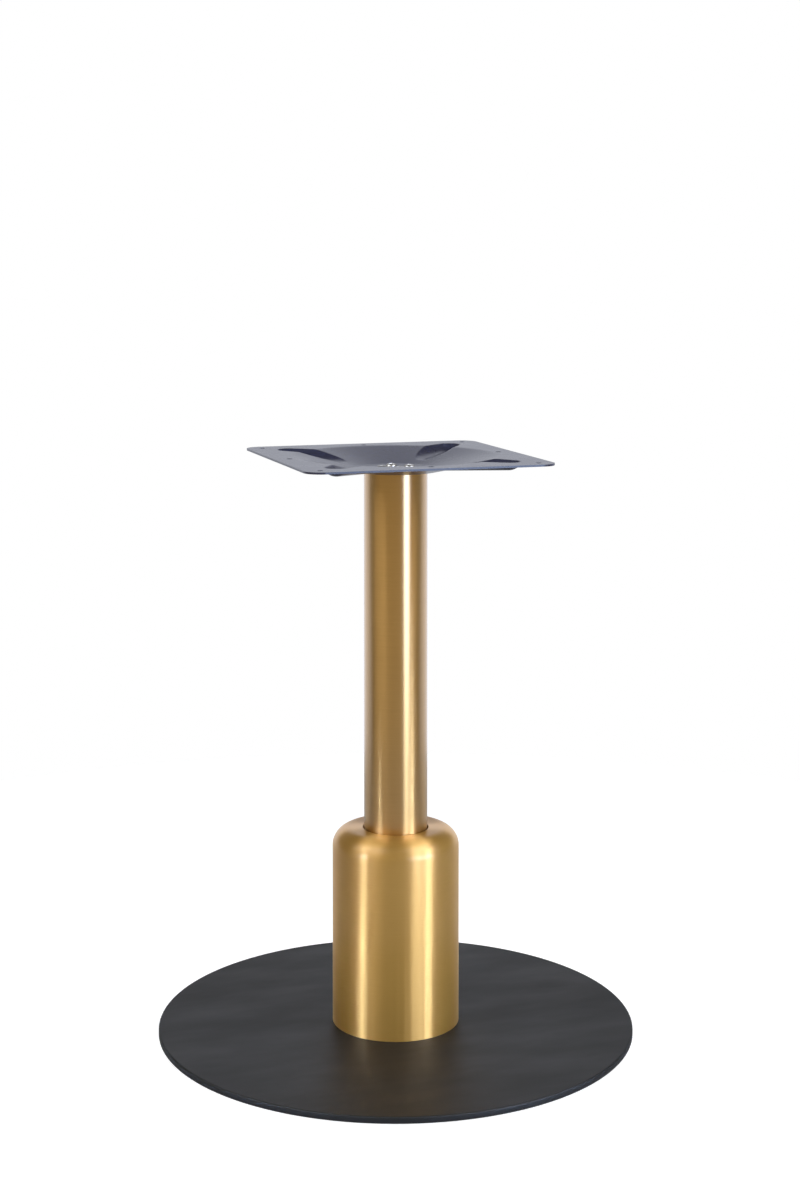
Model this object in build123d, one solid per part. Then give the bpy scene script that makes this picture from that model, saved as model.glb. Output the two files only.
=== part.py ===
from build123d import *
import math
import os

# Pedestal table base: a round foot plate, a column that rises out of a wide sleeve,
# and a pressed, dished top plate that carries the tabletop.
# Lengths are in millimetres. Z is up, the floor is z = 0 and the column's axis is the Z axis.

# Overall
table_height = 730.0

# Floor pads, stuck under the foot plate
pad_count = 6
pad_diameter = 40.0
pad_thickness = 2.0
pad_rim_inset = 30.0

# Foot plate
base_diameter = 600.0
base_thickness = 8.0
base_edge_chamfer = 1.2

# Column tube
column_diameter = 80.0
column_wall = 2.0

# Sleeve, one drawn shell that stands on the foot plate
sleeve_diameter = 160.0
sleeve_height = 248.0
sleeve_wall = 1.5
sleeve_shoulder_radius = 23.0
sleeve_mouth_gap = 1.5

# Foot flange, welded under the column and a loose fit in the sleeve
flange_thickness = 8.0
flange_sleeve_gap = 0.5
flange_lead_in = 1.0
foot_weld_leg = 5.0

# Foot screws, countersunk, driven up through the foot plate into the flange
foot_screw_count = 4
foot_screw_circle = 116.0
foot_screw_diameter = 8.0
foot_screw_length = 16.0
foot_screw_head_diameter = 16.0
foot_screw_recess = 0.3
foot_screw_socket = 5.0
foot_screw_socket_depth = 3.0

# Head disc, welded into the column's upper end
head_disc_thickness = 8.0
head_disc_gap = 0.2
head_weld_leg = 3.0

# Top plate, pressed from one sheet
plate_side = 315.0
plate_corner_radius = 21.0
plate_gauge = 2.5
plate_rim_width = 28.5
dish_depth = 16.5
dish_floor_margin = 14.0
dish_lip_radius = 30.0
dish_floor_bend = 14.0
valley_outer_radius = 16.0
valley_inner_radius = 42.0
valley_outer_depth = 8.5
valley_inner_depth = 14.0
valley_lip_radius = 4.5
valley_hole_margin = 25.5

# Holes in the plate's rim for the tabletop's screws, near the corners and at the middle of each edge
fixing_hole_diameter = 7.0
fixing_hole_inset = 20.0

# Top screws, button heads on the dish's floor, driven down into the head disc
top_screw_count = 4
top_screw_circle = 36.0
top_screw_diameter = 8.0
top_screw_length = 12.0
top_screw_head_diameter = 14.0
top_screw_head_height = 4.4
top_screw_head_rim = 1.2
top_screw_head_land = 8.0
top_screw_socket = 5.0
top_screw_socket_depth = 2.6

# Fits shared by both kinds of screw
screw_hole_clearance = 0.5
thread_clearance = 0.05
screw_tip_chamfer = 0.8

# Levels and radii worked out from the sizes above
base_bottom = pad_thickness
base_top = base_bottom + base_thickness
flange_top = base_top + flange_thickness
sleeve_top = base_top + sleeve_height
rim_top = table_height
dish_floor_top = rim_top - dish_depth
column_top = dish_floor_top - plate_gauge
column_radius = column_diameter / 2
column_bore_radius = column_radius - column_wall
sleeve_radius = sleeve_diameter / 2
sleeve_bore_radius = sleeve_radius - sleeve_wall
head_disc_radius = column_bore_radius - head_disc_gap
dish_floor_radius = column_radius + dish_floor_margin
dish_mouth_radius = plate_side / 2 - plate_rim_width
dish_slope = math.atan(dish_depth / (dish_mouth_radius - dish_floor_radius))
fixing_hole_spacing = plate_side - 2 * fixing_hole_inset
valley_reach = math.hypot(fixing_hole_spacing / 2, fixing_hole_spacing / 2) - valley_hole_margin
valley_angles = (45, 135, 225, 315)

STANDING = (Align.CENTER, Align.CENTER, Align.MIN)


def disc(radius, bottom, thickness):
    return Pos(0, 0, bottom) * Cylinder(radius, thickness, align=STANDING)


def ring_of(piece, circle, count):
    return [place * piece for place in PolarLocations(circle / 2, count)]


def drilled(body, diameter, circle, count):
    """The body with a ring of round holes right through it, along Z."""
    box = body.bounding_box()
    return body - ring_of(disc(diameter / 2, box.min.Z, box.size.Z), circle, count)


def turned(*corners):
    """A solid turned about Z from the corners of its section, each a radius and a height."""
    return revolve(Plane.XZ * make_face(Polyline(*corners, close=True)), Axis.Z)


def hex_socket(across_flats, bottom, depth):
    return Pos(0, 0, bottom) * extrude(RegularPolygon(across_flats / 2, 6, major_radius=False), depth)


def top_edges(body):
    return body.edges().group_by(Axis.Z)[-1]


def floor_pads():
    pad = disc(pad_diameter / 2, 0, pad_thickness)
    return ring_of(pad, base_diameter - 2 * pad_rim_inset, pad_count)


def base_plate():
    plate = disc(base_diameter / 2, base_bottom, base_thickness)
    plate = chamfer(top_edges(plate), base_edge_chamfer)
    bore_radius = foot_screw_diameter / 2 + screw_hole_clearance
    mouth_radius = foot_screw_head_diameter / 2 + foot_screw_recess
    plate = drilled(plate, 2 * bore_radius, foot_screw_circle, foot_screw_count)
    sink_depth = mouth_radius - bore_radius
    countersink = Pos(0, 0, base_bottom) * Cone(mouth_radius, bore_radius, sink_depth, align=STANDING)
    return plate - ring_of(countersink, foot_screw_circle, foot_screw_count)


def foot_flange():
    flange = disc(sleeve_bore_radius - flange_sleeve_gap, base_top, flange_thickness)
    flange = chamfer(top_edges(flange), flange_lead_in)
    return drilled(flange, foot_screw_diameter + 2 * thread_clearance, foot_screw_circle, foot_screw_count)


def foot_weld():
    return turned(
        (column_radius, flange_top),
        (column_radius + foot_weld_leg, flange_top),
        (column_radius, flange_top + foot_weld_leg),
    )


def foot_screws():
    face = base_bottom + foot_screw_recess
    tip = face + foot_screw_length
    shank = foot_screw_diameter / 2
    head = foot_screw_head_diameter / 2
    screw = turned(
        (0, face),
        (head, face),
        (shank, face + head - shank),
        (shank, tip - screw_tip_chamfer),
        (shank - screw_tip_chamfer, tip),
        (0, tip),
    )
    screw -= hex_socket(foot_screw_socket, face, foot_screw_socket_depth)
    return ring_of(screw, foot_screw_circle, foot_screw_count)


def column_tube():
    length = column_top - flange_top
    return disc(column_radius, flange_top, length) - disc(column_bore_radius, flange_top, length)


def round_shouldered(radius, top, shoulder_radius):
    can = disc(radius, base_top, top - base_top)
    return fillet(top_edges(can), shoulder_radius)


def sleeve():
    shell = round_shouldered(sleeve_radius, sleeve_top, sleeve_shoulder_radius)
    shell -= round_shouldered(
        sleeve_bore_radius, sleeve_top - sleeve_wall, sleeve_shoulder_radius - sleeve_wall
    )
    return shell - disc(column_radius + sleeve_mouth_gap, base_top, sleeve_height)


def head_disc():
    plug = disc(head_disc_radius, column_top - head_disc_thickness, head_disc_thickness)
    plug = chamfer(top_edges(plug), head_weld_leg)
    return drilled(plug, top_screw_diameter + 2 * thread_clearance, top_screw_circle, top_screw_count)


def head_weld():
    root = column_top - head_weld_leg
    return turned(
        (head_disc_radius - head_weld_leg, column_top),
        (column_bore_radius, column_top),
        (column_bore_radius, root),
        (head_disc_radius, root),
    )


def valley_tool(skin):
    """A tapered, round-ended bar laid along +X: slim and shallow at the corner, wide and deep at the dish."""
    rise = valley_outer_radius - valley_outer_depth
    end_length = math.sqrt(valley_outer_radius**2 - rise**2)
    outer = Vector(valley_reach - end_length, 0, rim_top - valley_outer_depth + valley_outer_radius)
    inner = Vector(dish_floor_radius, 0, rim_top - valley_inner_depth + valley_inner_radius)
    run = inner - outer
    flare = math.asin((valley_inner_radius - valley_outer_radius) / run.length)
    slim = valley_outer_radius + skin
    wide = valley_inner_radius + skin
    length = run.length - wide * math.sin(flare)
    nose = CenterArc((0, 0), slim, -90, 90 - math.degrees(flare))
    sides = Polyline(nose @ 1, (wide * math.cos(flare), length), (0, length), nose @ 0)
    bar = revolve(Plane.XZ * make_face(nose + sides), Axis.Z)
    return Plane(origin=outer, z_dir=run) * bar


def dish_form(skin):
    """The rim and the dish as a turned block, with the bends at the dish's mouth and floor."""
    rim_level = rim_top - skin
    floor_level = rim_level - dish_depth
    block_top = rim_top + 2 * valley_inner_radius
    mitre = skin * math.tan(dish_slope / 2)
    floor_corner = (dish_floor_radius + mitre, floor_level)
    mouth_corner = (dish_mouth_radius + mitre, rim_level)
    section = make_face(
        Polyline(
            (0, floor_level),
            floor_corner,
            mouth_corner,
            (plate_side, rim_level),
            (plate_side, block_top),
            (0, block_top),
            close=True,
        )
    )
    section = fillet(section.vertices().sort_by_distance(floor_corner)[0], dish_floor_bend + skin)
    section = fillet(section.vertices().sort_by_distance(mouth_corner)[0], dish_lip_radius - skin)
    return revolve(Plane.XZ * section, Axis.Z)


def press_form(skin):
    """All that lies above one side of the sheet: skin is 0 for its upper side, the gauge for its lower one."""
    dish = dish_form(skin)
    valleys = [Rot(0, 0, angle) * valley_tool(skin) for angle in valley_angles]
    form = dish + valleys
    seams = new_edges(dish, *valleys, combined=form)
    return fillet(seams, valley_lip_radius - skin)


def top_plate():
    outline = RectangleRounded(plate_side, plate_side, plate_corner_radius)
    blank = Pos(0, 0, column_top) * extrude(outline, rim_top - column_top)
    plate = blank & (press_form(plate_gauge) - press_form(0))
    drill = disc(fixing_hole_diameter / 2, rim_top - plate_gauge, plate_gauge)
    plate -= [place * drill for place in GridLocations(fixing_hole_spacing, fixing_hole_spacing, 2, 2)]
    plate -= ring_of(drill, fixing_hole_spacing, len(valley_angles))
    return drilled(plate, top_screw_diameter + 2 * screw_hole_clearance, top_screw_circle, top_screw_count)


def top_screws():
    tip = dish_floor_top - top_screw_length
    crown = dish_floor_top + top_screw_head_height
    shank = top_screw_diameter / 2
    head = top_screw_head_diameter / 2
    screw = turned(
        (0, tip),
        (shank - screw_tip_chamfer, tip),
        (shank, tip + screw_tip_chamfer),
        (shank, dish_floor_top),
        (head, dish_floor_top),
        (head, dish_floor_top + top_screw_head_rim),
        (top_screw_head_land / 2, crown),
        (0, crown),
    )
    screw -= hex_socket(top_screw_socket, crown - top_screw_socket_depth, top_screw_socket_depth)
    return ring_of(screw, top_screw_circle, top_screw_count)


def write_step(node, shape):
    pieces = shape if isinstance(shape, list) else [shape]
    export_step(Compound([piece.solid() for piece in pieces]), os.path.join("parts", node + ".step"))


os.makedirs("parts", exist_ok=True)
for make in (
    floor_pads,
    base_plate,
    foot_flange,
    foot_weld,
    foot_screws,
    column_tube,
    sleeve,
    head_disc,
    head_weld,
    top_plate,
    top_screws,
):
    write_step(make.__name__, make())
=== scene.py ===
import bpy
import bmesh
import math
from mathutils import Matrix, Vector


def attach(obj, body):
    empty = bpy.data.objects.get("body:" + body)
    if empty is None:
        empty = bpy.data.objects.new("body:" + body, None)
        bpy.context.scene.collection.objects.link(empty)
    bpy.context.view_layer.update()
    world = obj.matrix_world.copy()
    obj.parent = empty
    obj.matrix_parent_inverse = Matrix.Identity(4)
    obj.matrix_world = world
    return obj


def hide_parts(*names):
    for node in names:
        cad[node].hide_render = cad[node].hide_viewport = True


# Looks for the pedestal table base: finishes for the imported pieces, softened edges, finer top screws,
# a pale floor, studio light and the camera. Lengths are in metres, Z is up and the floor is z = 0.

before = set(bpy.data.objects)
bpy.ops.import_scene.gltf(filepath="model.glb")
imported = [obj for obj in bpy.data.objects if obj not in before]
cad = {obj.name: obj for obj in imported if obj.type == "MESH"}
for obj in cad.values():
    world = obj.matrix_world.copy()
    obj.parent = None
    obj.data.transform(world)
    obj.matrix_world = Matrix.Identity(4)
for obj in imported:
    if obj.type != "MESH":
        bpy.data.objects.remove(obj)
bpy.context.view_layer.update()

# Camera, fitted to the silhouette: azimuth is measured from -Y towards +X, lens and sensor in millimetres
CAMERA_DISTANCE = 2.5965
CAMERA_HEIGHT = 1.0016
CAMERA_PITCH = math.radians(3.349)
CAMERA_AZIMUTH = math.radians(-17.93)
CAMERA_LENS = 62.4
CAMERA_SENSOR = 36.0
CAMERA_SHIFT = (0.0036, -0.2)

# The two tones between which each finish varies; the column's are the sleeve's brass made darker and
# browner, as painted shade for its darker reflections
COLUMN_SHADED_TONES = ((0.59, 0.345, 0.1, 1), (0.67, 0.395, 0.12, 1))
SLEEVE_TONES = ((0.76, 0.41, 0.075, 1), (0.82, 0.46, 0.1, 1))
SLATE_TONES = ((0.033, 0.036, 0.069, 1), (0.04, 0.043, 0.081, 1))
BLACK_TONES = ((0.007, 0.007, 0.007, 1), (0.016, 0.016, 0.016, 1))
ZINC_TONES = ((0.66, 0.67, 0.7, 1), (0.71, 0.7, 0.67, 1))
STEEL_TONES = ((0.3, 0.3, 0.31, 1), (0.47, 0.45, 0.43, 1))
RUBBER_TONES = ((0.014, 0.014, 0.014, 1), (0.03, 0.029, 0.028, 1))

# Softened edges: the width on each piece, the least bend that counts as an edge, and the gap of an open seam
EDGE_WIDTHS = {"base_plate": 0.0006, "sleeve": 0.0005, "floor_pads": 0.0004}
EDGE_ANGLE = math.radians(35)
EDGE_SEGMENTS = 3
SEAM_GAP = 0.000002

# Top screws: button heads with hex sockets; a bevel is its width and its height
SCREW_COUNT = 4
SCREW_SIDES = 48
SCREW_LENGTH = 0.012
SCREW_SHANK_RADIUS = 0.004
SCREW_TIP_CHAMFER = 0.0008
SCREW_HEAD_RADIUS = 0.007
SCREW_HEAD_HEIGHT = 0.0044
SCREW_RIM_HEIGHT = 0.0012
SCREW_RIM_BEVEL = (0.0004, 0.0003)
SCREW_LAND_RADIUS = 0.0039
SCREW_DOME_STEPS = 6
SCREW_SHARP_ANGLE = math.radians(40)
SOCKET_FLAT_RADIUS = 0.0025
SOCKET_DEPTH = 0.0026
SOCKET_BEVEL = (0.0002, 0.0003)
SOCKET_PIT_DEPTH = 0.0005

# How far the first screw is turned, and each one more than the last, in radians
FIRST_SCREW_TURN = 0.35
NEXT_SCREW_TURN = 0.8

# Floor: its glow as the camera sees it, and as metal or glass shows it
FLOOR_RADIUS = 1.4
FLOOR_SIDES = 96
FLOOR_GREY = (0.38, 0.38, 0.38, 1)
FLOOR_GLOW_SEEN = 0.9
FLOOR_GLOW_SHOWN = 0.1

# Colours of the lamps
NEUTRAL_LIGHT = (0.97, 1.0, 1.05)
COOL_LIGHT = (0.77, 1.0, 1.5)

# Backdrop behind the object: its edges, given as how far a direction points towards the camera
WHITE = (1, 1, 1, 1)
BACKDROP_LIGHT = (0.82, 0.86, 1.0, 1)
BACKDROP_LEAN = 0.5
BACKDROP_SIDE_CUT = 1.5
BACKDROP_EDGES = (-0.5, -0.6)
BACKDROP_WHITE_SHOWN = 0.4

# Dark sides, and the room in front of the object from straight below at 0 to straight above at 1
SIDE_LIGHT = (0.08, 0.065, 0.045, 1)
ROOM_EDGES = (-0.2, 0.4)
ROOM_BELOW = (0.5, 0.385, 0.19, 1)
ROOM_LEVEL = (0.34, 0.265, 0.14, 1)
ROOM_RAISED = (0.07, 0.06, 0.045, 1)
ROOM_ABOVE = (0.04, 0.04, 0.04, 1)
ROOM_STOPS = (
    (0.0, ROOM_BELOW),
    (0.4, ROOM_BELOW),
    (0.5, ROOM_LEVEL),
    (0.66, ROOM_LEVEL),
    (0.82, ROOM_RAISED),
    (1.0, ROOM_ABOVE),
)

# Sockets of a colour Mix node, by number because their names repeat
MIX_SHARE = 0
MIX_FIRST = 6
MIX_SECOND = 7
MIX_RESULT = 2

# The middle of a noise texture's values
NOISE_MIDDLE = 0.5


class Channel:
    """A socket of a node tree, so that shader maths can be written as plain expressions."""

    def __init__(self, tree, socket=None):
        self.tree = tree
        self.socket = socket

    def node(self, kind, settings=None, sockets=None, output=0):
        """Adds a node: first its settings, then its sockets' values or links. Gives one of its outputs."""
        made = self.tree.nodes.new(kind)
        for name, value in (settings or {}).items():
            if name == "stops":
                set_stops(made.color_ramp, value)
            else:
                setattr(made, name, value)
        for name, value in (sockets or {}).items():
            if isinstance(value, Channel):
                self.tree.links.new(value.socket, made.inputs[name])
            else:
                made.inputs[name].default_value = value
        return Channel(self.tree, made.outputs[output] if made.outputs else None)

    def maths(self, operation, *values):
        return self.node("ShaderNodeMath", {"operation": operation}, dict(enumerate(values)))

    def __add__(self, other):
        return self.maths("ADD", self, other)

    __radd__ = __add__

    def __sub__(self, other):
        return self.maths("SUBTRACT", self, other)

    def __rsub__(self, other):
        return self.maths("SUBTRACT", other, self)

    def __mul__(self, other):
        return self.maths("MULTIPLY", self, other)

    __rmul__ = __mul__

    def __abs__(self):
        return self.maths("ABSOLUTE", self)


def set_stops(colour_ramp, stops):
    while len(colour_ramp.elements) < len(stops):
        colour_ramp.elements.new(1.0)
    for element, (place, colour) in zip(colour_ramp.elements, stops):
        element.position = place
        element.color = colour


def new_finish(name):
    """An empty material, and the channel that adds nodes to it."""
    finish = bpy.data.materials.new(name)
    finish.use_nodes = True
    finish.node_tree.nodes.clear()
    return finish, Channel(finish.node_tree)


def show(finish, add, **sockets):
    """Ends a finish with its surface shader; socket names are written with underscores."""
    named = {name.replace("_", " "): value for name, value in sockets.items()}
    surface = add.node("ShaderNodeBsdfPrincipled", None, named)
    add.node("ShaderNodeOutputMaterial", None, {"Surface": surface})
    return finish


def place_on(add):
    """The point on the piece, in metres, in the piece's own frame."""
    return add.node("ShaderNodeTexCoord", output="Object")


def stretched(add, place, scale):
    return add.node("ShaderNodeMapping", None, {"Vector": place, "Scale": scale})


def noise(add, place, scale=1.0, detail=2.0, roughness=0.5):
    return add.node(
        "ShaderNodeTexNoise",
        None,
        {"Vector": place, "Scale": scale, "Detail": detail, "Roughness": roughness},
    )


def ramp(add, value, low, high):
    """The value as 0 to 1 between low and high."""
    return add.node("ShaderNodeMapRange", None, {"Value": value, "From Min": low, "From Max": high})


def blend(add, share, first, second):
    """The first colour where the share is 0, the second where it is 1."""
    sockets = {MIX_SHARE: share, MIX_FIRST: first, MIX_SECOND: second}
    return add.node("ShaderNodeMix", {"data_type": "RGBA"}, sockets, output=MIX_RESULT)


def varied(level, *spreads):
    """A level that each noise raises and lowers by its spread."""
    for texture, spread in spreads:
        level = level + spread * (texture - NOISE_MIDDLE)
    return level


def bump(add, height, strength, depth):
    return add.node("ShaderNodeBump", None, {"Height": height, "Strength": strength, "Distance": depth})


def brushed_brass(name, tones, metallic, roughness, anisotropy, lacquer, lacquer_roughness, hairline_depth):
    """Lacquered brass-coloured metal, brushed round the axis, so that its highlights run along the axis."""
    finish, add = new_finish(name)
    place = place_on(add)
    hairlines = noise(add, stretched(add, place, (9.0, 9.0, 5200.0)), detail=3.0, roughness=0.6)
    strokes = noise(add, stretched(add, place, (26.0, 26.0, 900.0)))
    clouds = noise(add, stretched(add, place, (14.0, 14.0, 9.0)), detail=3.0, roughness=0.55)
    tone = ramp(add, 0.35 * strokes + 0.65 * clouds, low=0.3, high=0.7)
    return show(
        finish,
        add,
        Base_Color=blend(add, tone, *tones),
        Metallic=metallic,
        IOR=2.2,
        Roughness=varied(roughness, (hairlines, 0.06), (clouds, 0.06)),
        Anisotropic=anisotropy,
        Anisotropic_Rotation=0.25,
        Coat_Weight=lacquer,
        Coat_Roughness=lacquer_roughness,
        Coat_IOR=1.8,
        Normal=bump(add, hairlines, strength=0.5, depth=hairline_depth),
    )


def column_brass():
    # The column's base colour is the brass darkened with painted shade
    return brushed_brass(
        "brushed_brass_column",
        COLUMN_SHADED_TONES,
        metallic=0.85,
        roughness=0.3,
        anisotropy=0.9,
        lacquer=1.0,
        lacquer_roughness=0.22,
        hairline_depth=0.000004,
    )


def sleeve_brass():
    return brushed_brass(
        "brushed_brass_sleeve",
        SLEEVE_TONES,
        metallic=0.65,
        roughness=0.42,
        anisotropy=1.0,
        lacquer=0.5,
        lacquer_roughness=0.3,
        hairline_depth=0.000006,
    )


def slate_coat():
    """Dark blue-grey satin powder coat with a fine orange peel."""
    finish, add = new_finish("slate_coat")
    place = place_on(add)
    peel = noise(add, place, scale=420.0)
    grain = noise(add, place, scale=2400.0)
    clouds = noise(add, place, scale=22.0, detail=4.0, roughness=0.6)
    return show(
        finish,
        add,
        Base_Color=blend(add, ramp(add, clouds, low=0.3, high=0.7), *SLATE_TONES),
        Roughness=varied(0.28, (clouds, 0.06), (grain, 0.04)),
        Normal=bump(add, peel + 0.3 * grain, strength=0.5, depth=0.00002),
    )


def black_coat():
    """Matt black powder coat with a fine texture and faint wipe marks."""
    finish, add = new_finish("black_coat")
    place = place_on(add)
    grain = noise(add, place, scale=1500.0, detail=3.0, roughness=0.6)
    wipes = noise(add, stretched(add, place, (5.0, 16.0, 5.0)), detail=4.0, roughness=0.6)
    return show(
        finish,
        add,
        Base_Color=blend(add, ramp(add, wipes, low=0.3, high=0.75), *BLACK_TONES),
        Roughness=varied(0.53, (wipes, 0.35), (grain, 0.08)),
        Normal=bump(add, grain, strength=0.5, depth=0.00006),
    )


def zinc_plate():
    """Bright zinc plating with a faint blue and yellow bloom."""
    finish, add = new_finish("zinc_plate")
    place = place_on(add)
    bloom = noise(add, place, scale=260.0, detail=3.0, roughness=0.6)
    grain = noise(add, place, scale=3000.0)
    return show(
        finish,
        add,
        Base_Color=blend(add, ramp(add, bloom, low=0.35, high=0.65), *ZINC_TONES),
        Metallic=1.0,
        Roughness=varied(0.36, (bloom, 0.16), (grain, 0.08)),
        Normal=bump(add, grain, strength=0.15, depth=0.0001),
    )


def mill_steel():
    """Hot-rolled steel as it leaves the mill."""
    finish, add = new_finish("mill_steel")
    place = place_on(add)
    scale_patches = noise(add, place, scale=70.0, detail=5.0, roughness=0.65)
    grain = noise(add, place, scale=1800.0, detail=3.0, roughness=0.6)
    return show(
        finish,
        add,
        Base_Color=blend(add, ramp(add, scale_patches, low=0.35, high=0.7), *STEEL_TONES),
        Metallic=0.9,
        Roughness=varied(0.46, (scale_patches, 0.25), (grain, 0.1)),
        Normal=bump(add, grain + scale_patches, strength=0.25, depth=0.0002),
    )


def pad_rubber():
    """Black rubber with a moulded grain."""
    finish, add = new_finish("pad_rubber")
    place = place_on(add)
    grain = noise(add, place, scale=1300.0, detail=3.0, roughness=0.6)
    dust = noise(add, place, scale=60.0, detail=4.0, roughness=0.6)
    return show(
        finish,
        add,
        Base_Color=blend(add, ramp(add, dust, low=0.4, high=0.7), *RUBBER_TONES),
        Roughness=varied(0.75, (dust, 0.2)),
        Normal=bump(add, grain, strength=0.4, depth=0.0003),
    )


def dress(node, finish):
    cad[node].data.materials.clear()
    cad[node].data.materials.append(finish)


def soften(node, width):
    """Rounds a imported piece's sharp edges a little."""
    weld = cad[node].modifiers.new("weld", "WELD")
    weld.merge_threshold = SEAM_GAP
    bevel = cad[node].modifiers.new("soft_edges", "BEVEL")
    bevel.limit_method = "ANGLE"
    bevel.angle_limit = EDGE_ANGLE
    bevel.width = width
    bevel.segments = EDGE_SEGMENTS
    bevel.harden_normals = True


def far_corner(node):
    """The largest x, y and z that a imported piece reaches."""
    points = [cad[node].matrix_world @ vertex.co for vertex in cad[node].data.vertices]
    return Vector([max(reach) for reach in zip(*points)])


def ring(mesh, radius, height):
    """A ring of vertices; the radius is a number or a function of the angle."""
    points = []
    for step in range(SCREW_SIDES):
        angle = math.tau * step / SCREW_SIDES
        reach = radius(angle) if callable(radius) else radius
        points.append(mesh.verts.new((reach * math.cos(angle), reach * math.sin(angle), height)))
    return points


def hexagon(flat_radius):
    """The radius of a hexagon at each angle."""
    sixth = math.tau / 6
    return lambda angle: flat_radius / math.cos(angle % sixth - sixth / 2)


def screw_rows():
    """The radius and height of each of the screw's rings, from the tip over the head into the socket."""
    rim_width, rim_rise = SCREW_RIM_BEVEL
    mouth_width, mouth_depth = SOCKET_BEVEL
    rows = [
        (SCREW_SHANK_RADIUS - SCREW_TIP_CHAMFER, -SCREW_LENGTH),
        (SCREW_SHANK_RADIUS, SCREW_TIP_CHAMFER - SCREW_LENGTH),
        (SCREW_SHANK_RADIUS, 0.0),
        (SCREW_HEAD_RADIUS - rim_width, 0.0),
        (SCREW_HEAD_RADIUS, rim_rise),
        (SCREW_HEAD_RADIUS, SCREW_RIM_HEIGHT),
    ]
    for step in range(1, SCREW_DOME_STEPS + 1):
        turn = math.radians(90) * step / SCREW_DOME_STEPS
        inset = (SCREW_HEAD_RADIUS - SCREW_LAND_RADIUS) * (1 - math.cos(turn))
        rise = (SCREW_HEAD_HEIGHT - SCREW_RIM_HEIGHT) * math.sin(turn)
        rows.append((SCREW_HEAD_RADIUS - inset, SCREW_RIM_HEIGHT + rise))
    rows += [
        (hexagon(SOCKET_FLAT_RADIUS + mouth_width), SCREW_HEAD_HEIGHT),
        (hexagon(SOCKET_FLAT_RADIUS), SCREW_HEAD_HEIGHT - mouth_depth),
        (hexagon(SOCKET_FLAT_RADIUS), SCREW_HEAD_HEIGHT - SOCKET_DEPTH),
    ]
    return rows


def button_screw(finish):
    """A button-head screw with a hex socket, its seat at z = 0."""
    mesh = bmesh.new()
    rings = [ring(mesh, radius, height) for radius, height in screw_rows()]
    tip = mesh.verts.new((0, 0, -SCREW_LENGTH))
    pit = mesh.verts.new((0, 0, SCREW_HEAD_HEIGHT - SOCKET_DEPTH - SOCKET_PIT_DEPTH))
    for step in range(SCREW_SIDES):
        after = (step + 1) % SCREW_SIDES
        for lower, upper in zip(rings, rings[1:]):
            mesh.faces.new((lower[step], lower[after], upper[after], upper[step]))
        mesh.faces.new((tip, rings[0][after], rings[0][step]))
        mesh.faces.new((pit, rings[-1][step], rings[-1][after]))
    data = bpy.data.meshes.new("button_screw")
    mesh.to_mesh(data)
    mesh.free()
    data.shade_smooth()
    data.set_sharp_from_angle(angle=SCREW_SHARP_ANGLE)
    data.materials.append(finish)
    return data


def top_screws(finish):
    """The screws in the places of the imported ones, each turned its own way."""
    data = button_screw(finish)
    packed = far_corner("top_screws")
    seat = packed.z - SCREW_HEAD_HEIGHT
    circle_radius = packed.x - SCREW_HEAD_RADIUS
    for count in range(SCREW_COUNT):
        angle = math.tau * count / SCREW_COUNT
        screw = bpy.data.objects.new("top_screw_%d" % (count + 1), data)
        screw.location = (circle_radius * math.cos(angle), circle_radius * math.sin(angle), seat)
        screw.rotation_euler = (0, 0, FIRST_SCREW_TURN + NEXT_SCREW_TURN * count)
        bpy.context.scene.collection.objects.link(screw)
        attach(screw, "root")
        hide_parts("top_screws")


def ray_kinds(add):
    """Two channels: 1 where the camera looks straight at it, and 1 where metal or glass shows it."""
    seen = add.node("ShaderNodeLightPath", output="Is Camera Ray")
    mirrored = add.node("ShaderNodeLightPath", output="Is Glossy Ray")
    passed = add.node("ShaderNodeLightPath", output="Is Transmission Ray")
    return seen, mirrored + passed


def floor_finish():
    """Pale grey paint that glows to white for the camera, and a little for metal and glass."""
    finish, add = new_finish("pale_floor")
    seen, shown = ray_kinds(add)
    mottle = noise(add, place_on(add), scale=3.0, detail=3.0)
    paint = add.node("ShaderNodeBsdfDiffuse", None, {"Color": FLOOR_GREY, "Roughness": 0.5 + 0.1 * mottle})
    strength = FLOOR_GLOW_SEEN * seen + FLOOR_GLOW_SHOWN * shown
    glow = add.node("ShaderNodeEmission", None, {"Color": WHITE, "Strength": strength})
    both = add.node("ShaderNodeAddShader", None, {0: paint, 1: glow})
    add.node("ShaderNodeOutputMaterial", None, {"Surface": both})
    return finish


def pale_floor():
    """A wide round floor that keeps the object's shadow."""
    mesh = bmesh.new()
    bmesh.ops.create_circle(mesh, cap_ends=True, segments=FLOOR_SIDES, radius=FLOOR_RADIUS)
    data = bpy.data.meshes.new("pale_floor")
    mesh.to_mesh(data)
    mesh.free()
    data.materials.append(floor_finish())
    floor = bpy.data.objects.new("pale_floor", data)
    bpy.context.scene.collection.objects.link(floor)


def towards_camera():
    return Vector((math.sin(CAMERA_AZIMUTH), -math.cos(CAMERA_AZIMUTH), 0))


def reach_along(add, way, direction):
    settings = {"operation": "DOT_PRODUCT"}
    return add.node("ShaderNodeVectorMath", settings, {0: way, 1: direction}, output="Value")


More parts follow.
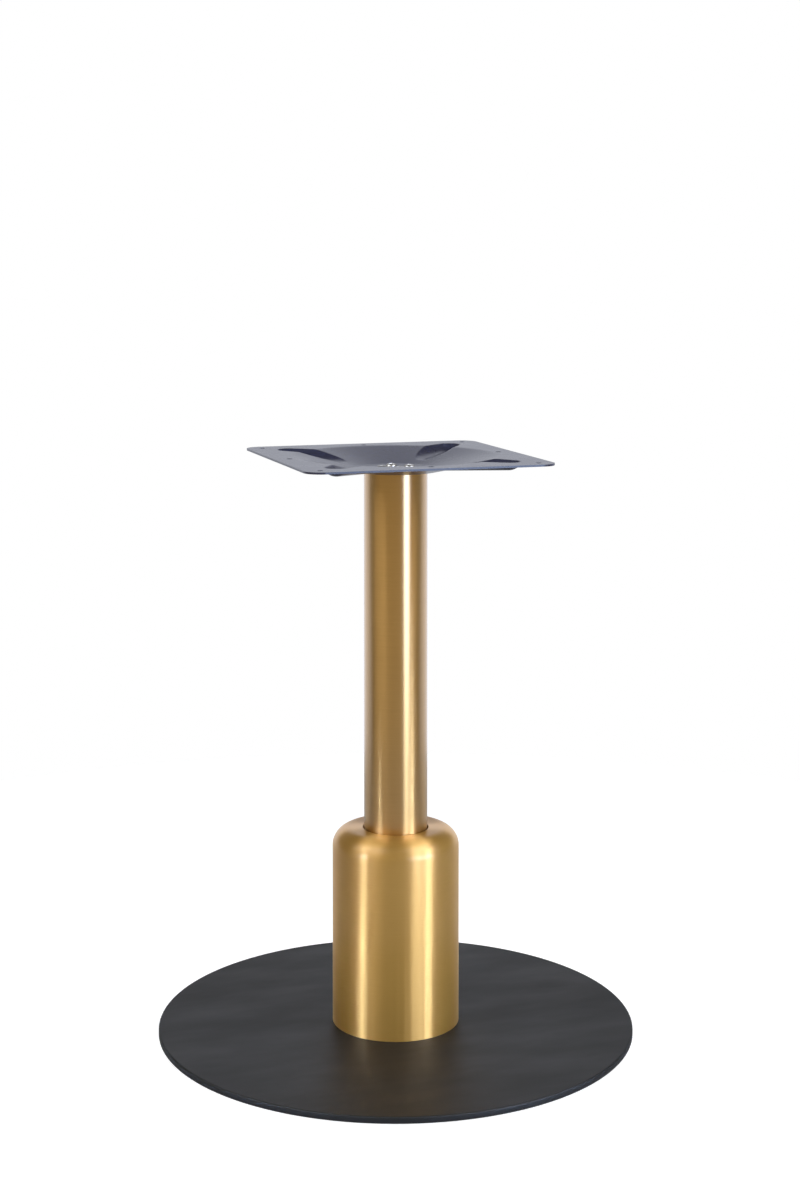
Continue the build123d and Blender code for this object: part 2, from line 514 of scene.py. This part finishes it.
def studio_world():
    """White to the camera; to the object, a pale backdrop, dark sides and a warm room in front."""
    world = bpy.data.worlds.new("studio")
    world.use_nodes = True
    world.node_tree.nodes.clear()
    bpy.context.scene.world = world
    add = Channel(world.node_tree)
    seen, shown = ray_kinds(add)
    way = add.node("ShaderNodeTexCoord", output="Generated")
    rise = add.node("ShaderNodeSeparateXYZ", None, {"Vector": way}, output="Z")
    facing = reach_along(add, way, towards_camera() + Vector((0, 0, BACKDROP_LEAN)))
    sideways = Vector((math.cos(CAMERA_AZIMUTH), math.sin(CAMERA_AZIMUTH), 0))
    aside = abs(reach_along(add, way, sideways))
    room = add.node("ShaderNodeValToRGB", {"stops": ROOM_STOPS}, {"Fac": 0.5 + 0.5 * rise})
    behind = ramp(add, facing + BACKDROP_SIDE_CUT * rise * aside, *BACKDROP_EDGES)
    sides = blend(add, ramp(add, facing, *ROOM_EDGES), SIDE_LIGHT, room)
    around = blend(add, behind, sides, BACKDROP_LIGHT)
    white = blend(add, seen + BACKDROP_WHITE_SHOWN * shown * behind, around, WHITE)
    sky = add.node("ShaderNodeBackground", None, {"Color": white, "Strength": 1.0})
    add.node("ShaderNodeOutputWorld", None, {"Surface": sky})


def softbox(name, azimuth, distance, height, size, aim_height, spread, power, colour):
    """A soft lamp. Its azimuth, from the camera's side, and its beam's spread are in degrees."""
    lamp = bpy.data.lights.new(name, "AREA")
    lamp.shape = "RECTANGLE"
    lamp.size, lamp.size_y = size
    lamp.spread = math.radians(spread)
    lamp.energy = power
    lamp.color = colour
    angle = CAMERA_AZIMUTH + math.radians(azimuth)
    lamp_object = bpy.data.objects.new(name, lamp)
    lamp_object.location = (distance * math.sin(angle), -distance * math.cos(angle), height)
    aim = Vector((0, 0, aim_height)) - lamp_object.location
    lamp_object.rotation_euler = aim.to_track_quat("-Z", "Y").to_euler()
    bpy.context.scene.collection.objects.link(lamp_object)


def studio_lamps():
    """Two large softboxes for the whole object, and three narrow lamps for the highlights on the brass."""
    softbox(
        "left_softbox",
        azimuth=-61,
        distance=1.85,
        height=2.0,
        size=(2.1, 1.8),
        aim_height=0.35,
        spread=180,
        power=28,
        colour=NEUTRAL_LIGHT,
    )
    softbox(
        "right_softbox",
        azimuth=60,
        distance=1.85,
        height=2.0,
        size=(2.0, 1.8),
        aim_height=0.35,
        spread=180,
        power=34,
        colour=NEUTRAL_LIGHT,
    )
    softbox(
        "left_sleeve_lamp",
        azimuth=-59,
        distance=2.2,
        height=0.3,
        size=(0.6, 0.25),
        aim_height=0.07,
        spread=13,
        power=0.24,
        colour=COOL_LIGHT,
    )
    softbox(
        "right_sleeve_lamp",
        azimuth=61,
        distance=2.2,
        height=0.3,
        size=(0.8, 0.3),
        aim_height=0.07,
        spread=22,
        power=0.56,
        colour=COOL_LIGHT,
    )
    softbox(
        "right_column_lamp",
        azimuth=40,
        distance=2.4,
        height=0.7,
        size=(1.0, 1.5),
        aim_height=0.65,
        spread=36,
        power=1.7,
        colour=COOL_LIGHT,
    )


def camera():
    lens = bpy.data.cameras.new("camera")
    lens.lens = CAMERA_LENS
    lens.sensor_width = CAMERA_SENSOR
    lens.shift_x, lens.shift_y = CAMERA_SHIFT
    eye = bpy.data.objects.new("camera", lens)
    eye.location = towards_camera() * CAMERA_DISTANCE + Vector((0, 0, CAMERA_HEIGHT))
    eye.rotation_euler = (math.radians(90) - CAMERA_PITCH, 0, CAMERA_AZIMUTH)
    bpy.context.scene.collection.objects.link(eye)
    bpy.context.scene.camera = eye


zinc = zinc_plate()
steel = mill_steel()
finishes = {
    "floor_pads": pad_rubber(),
    "base_plate": black_coat(),
    "foot_flange": steel,
    "foot_weld": steel,
    "foot_screws": zinc,
    "column_tube": column_brass(),
    "sleeve": sleeve_brass(),
    "head_disc": steel,
    "head_weld": steel,
    "top_plate": slate_coat(),
}
for node, finish in finishes.items():
    dress(node, finish)
for node, width in EDGE_WIDTHS.items():
    soften(node, width)
top_screws(zinc)

pale_floor()
studio_world()
studio_lamps()
camera()
bpy.context.scene.view_settings.view_transform = "Standard"
